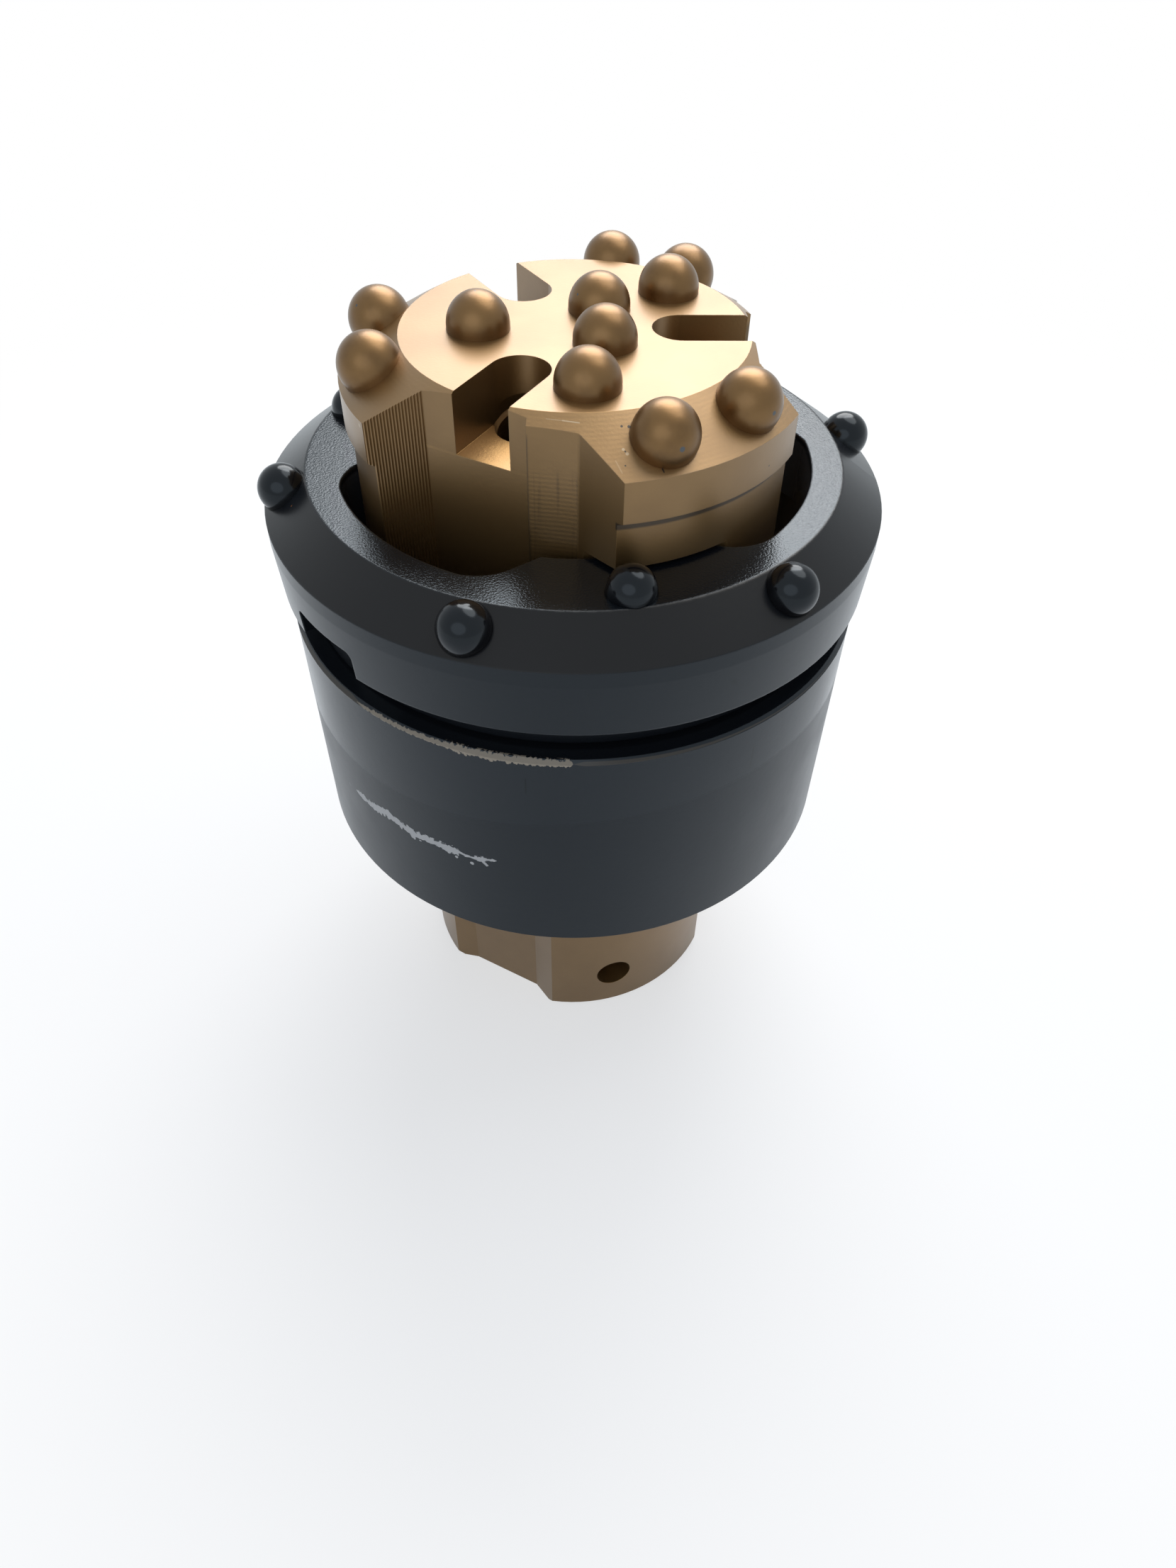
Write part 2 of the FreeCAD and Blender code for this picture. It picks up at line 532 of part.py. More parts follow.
def locking_half(side):
    """Half of the split locking ring that holds the ring bit in the shoe."""
    ring = cylinder(LOCK_OUTER_RADIUS, LOCK_BOTTOM, LOCK_BOTTOM + LOCK_HEIGHT)
    ring = ring.cut(cylinder(LOCK_INNER_RADIUS, LOCK_BOTTOM - 1.0, LOCK_BOTTOM + LOCK_HEIGHT + 1.0))
    start = LOCK_SPLIT_GAP / 2 if side > 0 else -LOCK_SPLIT_GAP / 2 - 2 * LOCK_OUTER_RADIUS
    block = Part.makeBox(4 * LOCK_OUTER_RADIUS, 2 * LOCK_OUTER_RADIUS, 2 * LOCK_HEIGHT,
                         FreeCAD.Vector(-2 * LOCK_OUTER_RADIUS, start, LOCK_BOTTOM - LOCK_HEIGHT / 2))
    return one_solid(ring.common(block))


def build():
    """Every node's name and solid."""
    pilot_row = pilot_buttons()
    ring_row = ring_buttons()
    nodes = {
        "pilot_bit": pilot_bit([seat for _, _, seat in pilot_row]),
        "ring_bit": ring_bit([seat for _, _, seat in ring_row]),
        "casing_shoe": casing_shoe(),
        "locking_ring_left": locking_half(1),
        "locking_ring_right": locking_half(-1)}
    for name, button, _ in pilot_row + ring_row:
        nodes[name] = button
    return nodes


os.makedirs("parts", exist_ok=True)
for node_name, solid in build().items():
    solid.exportStep("parts/%s.step" % node_name)
    print(node_name, solid.isValid(), round(solid.Volume), solid.BoundBox)
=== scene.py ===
import math

import bmesh
import bpy
from mathutils import Matrix, Vector

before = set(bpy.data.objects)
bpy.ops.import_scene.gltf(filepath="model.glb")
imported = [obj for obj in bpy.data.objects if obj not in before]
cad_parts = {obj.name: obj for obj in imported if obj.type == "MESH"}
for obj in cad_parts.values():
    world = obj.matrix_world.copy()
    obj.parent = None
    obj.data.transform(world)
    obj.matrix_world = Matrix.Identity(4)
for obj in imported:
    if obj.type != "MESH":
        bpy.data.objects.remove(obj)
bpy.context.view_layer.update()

# Camera
# It stands in front of the set and looks down on the cutting face, as the round outlines
# of the ring bit and the shoe say. Places are in metres and angles in radians.
CAMERA_PLACE = (0.0, -0.24726, 0.31443)
CAMERA_YAW, CAMERA_PITCH, CAMERA_ROLL = 0.0198, 0.8047, 0.0189
CAMERA_LENS = 24.891
SENSOR_WIDTH = 36.0
NEAREST_SEEN, FURTHEST_SEEN = 0.01, 20.0

camera = bpy.data.objects.new("camera", bpy.data.cameras.new("camera"))
bpy.context.scene.collection.objects.link(camera)
camera.data.sensor_width = SENSOR_WIDTH
camera.data.lens = CAMERA_LENS
camera.data.clip_start = NEAREST_SEEN
camera.data.clip_end = FURTHEST_SEEN
forward = Vector((math.sin(CAMERA_YAW) * math.cos(CAMERA_PITCH),
                  math.cos(CAMERA_YAW) * math.cos(CAMERA_PITCH), -math.sin(CAMERA_PITCH)))
level = Vector((math.cos(CAMERA_YAW), -math.sin(CAMERA_YAW), 0.0))
upward = level.cross(forward)
rolled_right = math.cos(CAMERA_ROLL) * level + math.sin(CAMERA_ROLL) * upward
rolled_up = -math.sin(CAMERA_ROLL) * level + math.cos(CAMERA_ROLL) * upward
turn = Matrix((rolled_right, rolled_up, -forward)).transposed()
camera.matrix_world = Matrix.Translation(CAMERA_PLACE) @ turn.to_4x4()
bpy.context.scene.camera = camera


# Lights
# A broad soft light stands high behind the set. A weak one hangs overhead on the right, and
# another fills the front from the left. Places and sizes are in metres, powers in watts.
HEAD_MIDDLE = (0.0, 0.0, 0.15)
SET_MIDDLE = (0.0, 0.0, 0.10)


def area_light(name, place, aim, size, power, colour):
    """Oval soft light at a place, turned to a point."""
    lamp = bpy.data.lights.new(name, "AREA")
    lamp.shape = "ELLIPSE"
    lamp.size, lamp.size_y = size
    lamp.energy = power
    lamp.color = colour
    holder = bpy.data.objects.new(name, lamp)
    bpy.context.scene.collection.objects.link(holder)
    holder.location = place
    holder.rotation_euler = (Vector(aim) - Vector(place)).to_track_quat("-Z", "Y").to_euler()


area_light("window behind", place=(0.12, 0.95, 1.03), aim=HEAD_MIDDLE, size=(1.10, 0.90),
           power=15.0, colour=(1.0, 0.98, 0.96))
area_light("ceiling", place=(0.40, 0.40, 1.22), aim=HEAD_MIDDLE, size=(1.1, 0.8),
           power=5.5, colour=(1.0, 0.99, 0.97))
area_light("room in front", place=(-0.3, -0.9, 0.75), aim=SET_MIDDLE, size=(1.2, 0.9),
           power=2.0, colour=(0.85, 0.92, 1.0))


# White surroundings
# The world looks white to the camera and in reflections, while the light that it gives the
# set stays weak and bluish.
WHITE = (1.0, 1.0, 1.0, 1.0)
MIRRORED_WHITE = (0.89, 0.955, 1.0, 1.0)
MIRRORED_STRENGTH = 0.8
FILL_COLOUR, FILL_STRENGTH = (0.55, 0.62, 0.72, 1.0), 0.65


def shade(tree, kind, **settings):
    """Adds a shader node of a kind, with its settings."""
    node = tree.nodes.new("ShaderNode" + kind)
    for name, value in settings.items():
        setattr(node, name, value)
    return node


def feed(tree, value, socket):
    """Links an output to a socket, or sets a plain value on it."""
    if isinstance(value, bpy.types.NodeSocket):
        tree.links.new(value, socket)
    else:
        socket.default_value = value


def calc(tree, operation, *values):
    """One sum of numbers or outputs."""
    node = shade(tree, "Math", operation=operation)
    for value, socket in zip(values, node.inputs):
        feed(tree, value, socket)
    return node.outputs[0]


def ramp(tree, value, low, high, start=0.0, end=1.0):
    """Goes softly from start at low to end at high, and stays level outside."""
    node = shade(tree, "MapRange", interpolation_type="SMOOTHSTEP")
    for number, given in enumerate((value, low, high, start, end)):
        feed(tree, given, node.inputs[number])
    return node.outputs[0]


# Numbers of the colour sockets on the Mix node, which has others of the same names
FIRST_COLOUR, SECOND_COLOUR, MIXED_COLOUR = 6, 7, 2


def mix_colours(tree, share, first, second):
    """The first colour, turned to the second by a share."""
    node = shade(tree, "Mix", data_type="RGBA")
    feed(tree, share, node.inputs["Factor"])
    feed(tree, first, node.inputs[FIRST_COLOUR])
    feed(tree, second, node.inputs[SECOND_COLOUR])
    return node.outputs[MIXED_COLOUR]


def rays(tree):
    """Two masks: rays of reflections and of glass, and those rays and the camera's."""
    path = shade(tree, "LightPath")
    mirrored = calc(tree, "MAXIMUM", path.outputs["Is Glossy Ray"],
                    path.outputs["Is Transmission Ray"])
    return mirrored, calc(tree, "MAXIMUM", path.outputs["Is Camera Ray"], mirrored)


def show(tree, output, share, first, second):
    """Makes the mix of two shaders the output."""
    mix = shade(tree, "MixShader")
    feed(tree, share, mix.inputs["Fac"])
    feed(tree, first.outputs[0], mix.inputs[1])
    feed(tree, second.outputs[0], mix.inputs[2])
    feed(tree, mix.outputs[0], shade(tree, output).inputs["Surface"])


world = bpy.data.worlds.new("studio")
bpy.context.scene.world = world
world.use_nodes = True
tree = world.node_tree
tree.nodes.clear()
mirrored, looked_at = rays(tree)
seen = shade(tree, "Background")
feed(tree, mix_colours(tree, mirrored, WHITE, MIRRORED_WHITE), seen.inputs["Color"])
strength = calc(tree, "MULTIPLY_ADD", mirrored, MIRRORED_STRENGTH - 1.0, 1.0)
feed(tree, strength, seen.inputs["Strength"])
fill = shade(tree, "Background")
feed(tree, FILL_COLOUR, fill.inputs["Color"])
feed(tree, FILL_STRENGTH, fill.inputs["Strength"])
show(tree, "OutputWorld", looked_at, fill, seen)
bpy.context.scene.view_settings.view_transform = "Standard"


# Floor
# The plain pale ground under the set. It fades to white away from the set and keeps its
# shadow.
FLOOR_REACH = 3.0
FLOOR_COLOUR = (0.86, 0.87, 0.88, 1.0)
NEAR_GLOW, MIRRORED_NEAR_GLOW = 0.6, 0.25
WHITE_FROM = 0.6

floor_mesh = bpy.data.meshes.new("floor")
sheet = bmesh.new()
bmesh.ops.create_grid(sheet, x_segments=1, y_segments=1, size=FLOOR_REACH)
sheet.to_mesh(floor_mesh)
sheet.free()
floor = bpy.data.objects.new("floor", floor_mesh)
bpy.context.scene.collection.objects.link(floor)
material = bpy.data.materials.new("white floor")
material.use_nodes = True
tree = material.node_tree
tree.nodes.clear()
mirrored, looked_at = rays(tree)
distance = shade(tree, "VectorMath", operation="LENGTH")
feed(tree, shade(tree, "TexCoord").outputs["Object"], distance.inputs[0])
nearest = calc(tree, "MULTIPLY_ADD", mirrored, MIRRORED_NEAR_GLOW - NEAR_GLOW, NEAR_GLOW)
glow = ramp(tree, distance.outputs["Value"], 0.0, WHITE_FROM, nearest)
dull = shade(tree, "BsdfDiffuse")
feed(tree, FLOOR_COLOUR, dull.inputs["Color"])
bright = shade(tree, "Emission")
feed(tree, mix_colours(tree, mirrored, WHITE, MIRRORED_WHITE), bright.inputs["Color"])
feed(tree, 1.0, bright.inputs["Strength"])
show(tree, "OutputMaterial", calc(tree, "MULTIPLY", looked_at, glow), dull, bright)
floor.data.materials.append(material)


# Pilot bit
# The steel bit in the middle, which drills ahead and turns the ring bit. It is turned and
# milled from one piece and painted satin gold, with turning lines on the wings' bevel,
# milling lines in the flutes, dirt, pits and a scratch. A painted shadow darkens the strip
# under the wings' band, and painted shade the flats' corners. Sizes are in millimetres.
MILLIMETRES = 1000.0
GOLD = (0.262, 0.150, 0.053, 1.0)
GOLD_SHADE = (0.238, 0.134, 0.046, 1.0)
GOLD_WORN = (0.38, 0.28, 0.17, 1.0)
# Dark gold for drips and pits, and for the painted shadow under the band and the painted shade
# along the corners
GOLD_DIRT_AND_SHADE = (0.03, 0.02, 0.012, 1.0)
GOLD_METALLIC = 0.95
GOLD_ROUGHNESS, ROUGHER_PATCHES, SMOOTHER_SLOT_FLOOR = 0.41, 0.08, 0.12
LACQUER_WEIGHT, LACQUER_IOR, LACQUER_ROUGHNESS = 0.85, 1.5, 0.34
PATCH_SIZE = 14.0
GRAIN_SIZE, GRAIN_RELIEF = 0.7, 0.030
BEVEL_LOW, BEVEL_HIGH, BEVEL_RADIUS = 200.2, 207.9, 40.0
TURNING_PITCH, TURNING_RELIEF = 0.95, 0.003
FLUTE_AZIMUTH, FLUTE_STEP = -119.0, 120.0
FLAT_FROM, FLAT_TO = 16.2, 29.8
FLAT_INNER, FLAT_OUTER = 36.0, 45.6
FLAT_LOW, FLAT_HIGH = 165.0, 196.0
MILLING_PITCH, MILLING_RELIEF = 1.05, 0.006
DRIFT_SIZE, DRIFT_REACH = 9.0, 0.8
DRIP_WIDTH, DRIP_STRETCH, DRIP_STRENGTH = 1.3, (1.0, 1.0, 0.04), 0.4
# The thin strips along the flats' corners, painted half dark as painted shade
CORNER_FROM, CORNER_INNER, CORNER_LOW, CORNER_HIGH = 15.3, 38.0, 160.0, 204.0
RIDGES_FROM, RIDGES_TO = 82.0, 103.0
RIDGES_LOW, RIDGES_HIGH = 160.0, 207.9
EDGE_ROUND, RIDGE_ROUND = 0.00025, 0.00003
SLOT_FLOOR, SLOT_LEAN, SLOT_INNER = 193.9, 0.2, 43.5
# The strip just under the wings' band, painted dark as a painted shadow of the band's overhang
SHADOW_LOW, SHADOW_HIGH = 188.4, 190.1
SHADOW_INNER, SHADOW_OUTER, SHADOW_FROM = 53.05, 54.45, -120.0
FAINT_SCRATCH = ((-5.9, -41.5, 207.3), (-2.6, -42.0, 207.2), 0.12)
CLEAR_SCRATCH = ((-2.6, -42.0, 207.2), (1.0, -42.5, 207.0), 0.16)
BEVEL_SCRATCH = ((8.2, -49.5, 202.6), (9.6, -51.9, 201.1), 0.15)
BARE_CHIPS = [((9.8, -47.1, 203.7), 0.35), ((10.6, -47.9, 203.2), 0.40),
              ((-46.5, -29.0, 198.8), 0.50)]
LONG_PIT = ((17.7, -49.8, 201.1), (18.1, -50.6, 200.6), 0.18)
PITS = [((9.5, -42.5, 206.3), 0.30), ((11.0, -42.4, 206.2), 0.38), ((10.2, -47.5, 203.5), 0.22),
        ((10.2, -50.3, 201.9), 0.22), ((42.1, -35.0, 193.5), 0.25), ((-32.2, -9.4, 208.3), 0.22)]


class Paint:
    """A material, with the place on its piece in millimetres and degrees."""

    def __init__(self, name):
        self.material = bpy.data.materials.new(name)
        self.material.use_nodes = True
        self.tree = self.material.node_tree
        self.shader = self.tree.nodes["Principled BSDF"]
        scale = shade(self.tree, "VectorMath", operation="SCALE")
        feed(self.tree, shade(self.tree, "TexCoord").outputs["Object"], scale.inputs[0])
        feed(self.tree, MILLIMETRES, scale.inputs["Scale"])
        self.place = scale.outputs[0]
        split = shade(self.tree, "SeparateXYZ")
        feed(self.tree, self.place, split.inputs[0])
        x, y, self.z = split.outputs
        squares = self.calc("MULTIPLY_ADD", x, x, self.calc("MULTIPLY", y, y))
        self.radius = self.calc("SQRT", squares)
        self.azimuth = self.calc("DEGREES", self.calc("ARCTAN2", y, x))
        self.height = 0.0

    def calc(self, operation, *values):
        return calc(self.tree, operation, *values)

    def ramp(self, value, low, high, start=0.0, end=1.0):
        return ramp(self.tree, value, low, high, start, end)

    def vector(self, operation, first, second):
        """One sum of two vectors, each an output or three numbers."""
        node = shade(self.tree, "VectorMath", operation=operation)
        feed(self.tree, first, node.inputs[0])
        feed(self.tree, second, node.inputs[1])
        return node.outputs

    def above(self, value, level, soft):
        """1 above a level, with a soft border."""
        return self.ramp(value, level - soft, level + soft)

    def below(self, value, level, soft):
        """1 below a level, with a soft border."""
        return self.ramp(value, level + soft, level - soft)

    def within(self, value, low, high, soft):
        """1 between low and high, with soft ends."""
        return self.both(self.above(value, low, soft), self.below(value, high, soft))

    def both(self, *masks):
        """1 where all the masks are 1."""
        product = masks[0]
        for mask in masks[1:]:
            product = self.calc("MULTIPLY", product, mask)
        return product

    def either(self, *masks):
        """1 where one of the masks is 1."""
        most = masks[0]
        for mask in masks[1:]:
            most = self.calc("MAXIMUM", most, mask)
        return most

    def noise(self, size, detail=2.0, stretch=(1.0, 1.0, 1.0)):
        """Cloudy pattern from 0 to 1 whose blots are about size millimetres wide."""
        node = shade(self.tree, "TexNoise")
        feed(self.tree, self.vector("MULTIPLY", self.place, stretch)[0], node.inputs["Vector"])
        feed(self.tree, 1.0 / size, node.inputs["Scale"])
        feed(self.tree, detail, node.inputs["Detail"])
        return node.outputs["Fac"]

    def waves(self, value, pitch):
        """Runs up and down between -1 and 1, once in each pitch."""
        return self.calc("SINE", self.calc("MULTIPLY", value, 2.0 * math.pi / pitch))

    def spot(self, place, size):
        """1 inside a ragged spot round a place in millimetres."""
        apart = self.vector("DISTANCE", self.place, place)["Value"]
        fray = 0.4 * size
        border = self.calc("MULTIPLY_ADD", self.noise(size, 3.0), fray, apart)
        return self.ramp(border, 1.3 * size, 0.9 * size)

    def spots(self, given):
        """1 inside any of the spots, each given as a place and a size."""
        return self.either(*[self.spot(place, size) for place, size in given])

    def line(self, start, end, half_width):
        """1 near the straight line between two places in millimetres, with ragged sides."""
        along = Vector(end) - Vector(start)
        offset = self.vector("SUBTRACT", self.place, start)[0]
        share = self.vector("DOT_PRODUCT", offset, along.normalized())["Value"]
        spread = shade(self.tree, "VectorMath", operation="LENGTH")
        feed(self.tree, offset, spread.inputs[0])
        spread = spread.outputs["Value"]
        far = self.calc("MULTIPLY", spread, spread)
        near = self.calc("MULTIPLY", share, share)
        aside = self.calc("SQRT", self.calc("MAXIMUM", self.calc("SUBTRACT", far, near), 0.0))
        fray = 0.5 * half_width
        border = self.calc("MULTIPLY_ADD", self.noise(1.5, 3.0), fray, aside)
        reach = self.within(share, 0.0, along.length, 0.25 * half_width)
        return self.both(self.ramp(border, 1.4 * half_width, 0.9 * half_width), reach)

    def curve(self, value, pairs):
        """Straight-line curve through pairs of value and height, heights from 0 to 1."""
        low, high = pairs[0][0], pairs[-1][0]
        node = shade(self.tree, "ValToRGB")
        spread = self.calc("DIVIDE", self.calc("SUBTRACT", value, low), high - low)
        feed(self.tree, spread, node.inputs["Fac"])
        stops = node.color_ramp.elements
        for number, (at, level) in enumerate(pairs):
            position = (at - low) / (high - low)
            stop = stops[number] if number < 2 else stops.new(position)
            stop.position = position
            stop.color = (level, level, level, 1.0)
        return node.outputs["Color"]

    def tint(self, mask, colour, base):
        """The base colour, turned to another colour where the mask is 1."""
        return mix_colours(self.tree, mask, base, colour)

    def weaken(self, mask, share):
        """The mask, with only a share of its strength."""
        return self.calc("MULTIPLY", mask, share)

    def raise_by(self, amount, value):
        """Adds a pattern to the height of the surface, in millimetres."""
        self.height = self.calc("MULTIPLY_ADD", value, amount, self.height)

    def finish(self, colour, roughness, edge_round=EDGE_ROUND, lean=None, **others):
        """Feeds the shader, with rounded edges and the gathered height. Where lean isn't 0,
        the surface takes the light as if it fell away to the front by that much."""
        feed(self.tree, colour, self.shader.inputs["Base Color"])
        feed(self.tree, roughness, self.shader.inputs["Roughness"])
        for name, value in others.items():
            feed(self.tree, value, self.shader.inputs[name.replace("_", " ")])
        edge = shade(self.tree, "Bevel", samples=4)
        feed(self.tree, edge_round, edge.inputs["Radius"])
        bump = shade(self.tree, "Bump")
        feed(self.tree, 1.0 / MILLIMETRES, bump.inputs["Distance"])
        feed(self.tree, self.height, bump.inputs["Height"])
        feed(self.tree, edge.outputs[0], bump.inputs["Normal"])
        normal = bump.outputs[0]
        if lean is not None:
            fall = shade(self.tree, "VectorMath", operation="SCALE")
            feed(self.tree, (0.0, -1.0, 0.0), fall.inputs[0])
            feed(self.tree, lean, fall.inputs["Scale"])
            unit = shade(self.tree, "VectorMath", operation="NORMALIZE")
            feed(self.tree, self.vector("ADD", normal, fall.outputs[0])[0], unit.inputs[0])
            normal = unit.outputs[0]
        feed(self.tree, normal, self.shader.inputs["Normal"])
        return self.material


def dress(names, material):
    """Gives pieces their material."""
    for name in names:
        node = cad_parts[name]
        node.data.materials.clear()
        node.data.materials.append(material)


gold = Paint("gold paint")
past_flute = gold.calc("MODULO", gold.calc("ADD", gold.azimuth, 360.0 - FLUTE_AZIMUTH), FLUTE_STEP)
on_bevel = gold.both(gold.within(gold.z, BEVEL_LOW, BEVEL_HIGH, soft=0.2),
                     gold.above(gold.radius, BEVEL_RADIUS, soft=1.0))
on_flats = gold.both(gold.within(gold.radius, FLAT_INNER, FLAT_OUTER, soft=0.3),
                     gold.within(gold.z, FLAT_LOW, FLAT_HIGH, soft=2.0),
                     gold.within(past_flute, FLAT_FROM, FLAT_TO, soft=0.2))
# A thin strip along each flat's corner, darkened below as painted shade
shade_in_corners = gold.both(gold.within(past_flute, CORNER_FROM, FLAT_FROM, soft=0.25),
                       gold.within(gold.radius, CORNER_INNER, FLAT_OUTER, soft=0.3),
                       gold.within(gold.z, CORNER_LOW, CORNER_HIGH, soft=1.0))
on_ridges = gold.both(gold.within(past_flute, RIDGES_FROM, RIDGES_TO, soft=0.5),
                      gold.within(gold.z, RIDGES_LOW, RIDGES_HIGH, soft=0.1))
on_slot_floor = gold.both(gold.within(gold.z, SLOT_FLOOR - 0.3, SLOT_FLOOR + 0.3, soft=0.1),
                          gold.below(gold.radius, SLOT_INNER, soft=0.5))
# The strip just under the wings' band, darkened below as a painted shadow of its overhang
shadow_under_band = gold.both(gold.within(gold.z, SHADOW_LOW, SHADOW_HIGH, soft=0.3),
                       gold.within(gold.radius, SHADOW_INNER, SHADOW_OUTER, soft=0.15),
                       gold.above(gold.azimuth, SHADOW_FROM, soft=10.0))
gold.raise_by(TURNING_RELIEF, gold.both(gold.waves(gold.radius, TURNING_PITCH), on_bevel))
drift = gold.calc("MULTIPLY_ADD", gold.noise(DRIFT_SIZE), DRIFT_REACH, gold.z)
gold.raise_by(MILLING_RELIEF, gold.both(gold.waves(drift, MILLING_PITCH), on_flats))
gold.raise_by(GRAIN_RELIEF, gold.noise(GRAIN_SIZE, detail=3.0))
patchy = gold.noise(PATCH_SIZE, detail=3.0)
colour = gold.tint(gold.ramp(patchy, 0.35, 0.75), GOLD_SHADE, GOLD)
worn = gold.either(gold.weaken(gold.line(*FAINT_SCRATCH), 0.5), gold.line(*CLEAR_SCRATCH),
                   gold.weaken(gold.line(*BEVEL_SCRATCH), 0.35), gold.spots(BARE_CHIPS))
colour = gold.tint(worn, GOLD_WORN, colour)
drips = gold.ramp(gold.noise(DRIP_WIDTH, detail=3.0, stretch=DRIP_STRETCH), 0.52, 0.72,
                  end=DRIP_STRENGTH)
colour = gold.tint(gold.both(drips, on_flats), GOLD_DIRT_AND_SHADE, colour)
# Pits, plus the painted shadow under the band and the painted shade along the corners, all in dark
# gold
pits_and_shade = gold.either(gold.line(*LONG_PIT), gold.spots(PITS), gold.weaken(shadow_under_band, 0.85),
                   gold.weaken(shade_in_corners, 0.5))
colour = gold.tint(pits_and_shade, GOLD_DIRT_AND_SHADE, colour)
roughness = gold.calc("MULTIPLY_ADD", patchy, ROUGHER_PATCHES, GOLD_ROUGHNESS)
roughness = gold.calc("MULTIPLY_ADD", on_slot_floor, -SMOOTHER_SLOT_FLOOR, roughness)
edge_round = gold.calc("MULTIPLY_ADD", on_ridges, RIDGE_ROUND - EDGE_ROUND, EDGE_ROUND)
lean = gold.weaken(on_slot_floor, SLOT_LEAN)
dress(["pilot_bit"], gold.finish(
    colour, roughness, edge_round, lean, Metallic=GOLD_METALLIC, Coat_Weight=LACQUER_WEIGHT,
    Coat_IOR=LACQUER_IOR, Coat_Roughness=LACQUER_ROUGHNESS))


# Pilot buttons
# Eleven smooth hard-metal domes, pressed into the pilot bit and painted over with the same
# gold. They look a little more coppery, and grey chips show where they were touched.
BUTTON_GOLD = (0.195, 0.104, 0.034, 1.0)
BUTTON_SHADE = (0.155, 0.081, 0.026, 1.0)
CHIP_GREY = (0.085, 0.090, 0.095, 1.0)
BUTTON_ROUGHNESS, BUTTON_LACQUER, BUTTON_LACQUER_ROUGHNESS = 0.36, 0.45, 0.32
CLOUD_SIZE = 6.0
DOME_GRAIN_SIZE, DOME_GRAIN_RELIEF = 0.9, 0.020
GREY_CHIPS = [((21.4, -50.5, 205.7), 0.65), ((41.5, -35.6, 205.9), 0.55),
              ((-50.6, 6.6, 209.8), 0.35), ((0.5, 6.5, 212.9), 0.30),
              ((-22.3, -1.1, 216.5), 0.25)]


def pieces(start, word=""):
    """Names of the pieces that start with one word and hold another."""
    return [name for name in sorted(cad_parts) if name.startswith(start) and word in name]


domes = Paint("gold paint on buttons")
domes.raise_by(DOME_GRAIN_RELIEF, domes.noise(DOME_GRAIN_SIZE, detail=3.0))
cloudy = domes.noise(CLOUD_SIZE, detail=3.0)
colour = domes.tint(domes.ramp(cloudy, 0.4, 0.75), BUTTON_SHADE, BUTTON_GOLD)
colour = domes.tint(domes.spots(GREY_CHIPS), CHIP_GREY, colour)
roughness = domes.calc("MULTIPLY_ADD", cloudy, ROUGHER_PATCHES, BUTTON_ROUGHNESS)
dress(pieces("pilot_", "button"), domes.finish(
    colour, roughness, Metallic=GOLD_METALLIC, Coat_Weight=BUTTON_LACQUER, Coat_IOR=LACQUER_IOR,
    Coat_Roughness=BUTTON_LACQUER_ROUGHNESS))


# Ring bit
# The turned and milled steel ring that cuts the hole for the casing, under thick blue-black
# paint. The paint is smooth on bevel and gauge and has an orange-peel skin on the flat face;
# in the bore it is painted lighter, as painted light in the deep shade there.
BLACK = (0.0055, 0.0065, 0.0085, 1.0)
# A lighter black for the bore: painted light where the bore lies in deep shade
BORE_LIT_BLACK = (0.035, 0.037, 0.041, 1.0)
PIT_BLACK = (0.001, 0.001, 0.001, 1.0)
SCUFF_GREY = (0.20, 0.21, 0.22, 1.0)
RUST = (0.16, 0.06, 0.02, 1.0)
BLUISH_SHINE = (0.82, 0.92, 1.0, 1.0)
FACE_SHINE = (0.70, 0.86, 1.0, 1.0)
PLAIN_SHINE = (0.98, 0.92, 0.86, 1.0)
SHINE, MORE_FACE_SHINE = 0.34, 0.08
RING_ROUGHNESS, SMOOTHER_FACE = 0.24, 0.10
RING_ROUND = 0.0006
RING_FACE_LOW, RING_FACE_RADIUS = 177.3, 66.1
RING_BEVEL_LOW = 169.8
BORE_RADIUS, BORE_TOP = 59.1, 176.1
PEEL_SIZE, PEEL_RELIEF = 0.5, 0.080
UNEVEN_SIZE, UNEVEN_RELIEF = 2.5, 0.015
RING_PIT = ((34.8, -68.2, 160.5), 0.9)
RUST_SPOT = ((-66.8, -22.1, 174.6), 0.25)
SCUFFS = [((-61.2, -14.2, 177.5), (-61.6, -17.2, 177.5), 0.15),
          ((-62.2, -15.0, 177.5), (-62.4, -16.6, 177.5), 0.12)]

ring = Paint("black paint on ring")
on_face = ring.both(ring.above(ring.z, RING_FACE_LOW, soft=0.1),
                    ring.below(ring.radius, RING_FACE_RADIUS, soft=0.5))
off_face = ring.calc("SUBTRACT", 1.0, on_face)
on_ring_bevel = ring.both(ring.above(ring.z, RING_BEVEL_LOW, soft=0.2), off_face)
in_bore = ring.both(ring.below(ring.radius, BORE_RADIUS, soft=0.3),
                    ring.below(ring.z, BORE_TOP, soft=0.5))
ring.raise_by(PEEL_RELIEF, ring.both(ring.noise(PEEL_SIZE, detail=3.0), on_face))
ring.raise_by(UNEVEN_RELIEF, ring.noise(UNEVEN_SIZE))
colour = ring.tint(ring.spot(*RING_PIT), PIT_BLACK, BLACK)
colour = ring.tint(ring.either(*[ring.line(*scuff) for scuff in SCUFFS]), SCUFF_GREY, colour)
colour = ring.tint(ring.spot(*RUST_SPOT), RUST, colour)
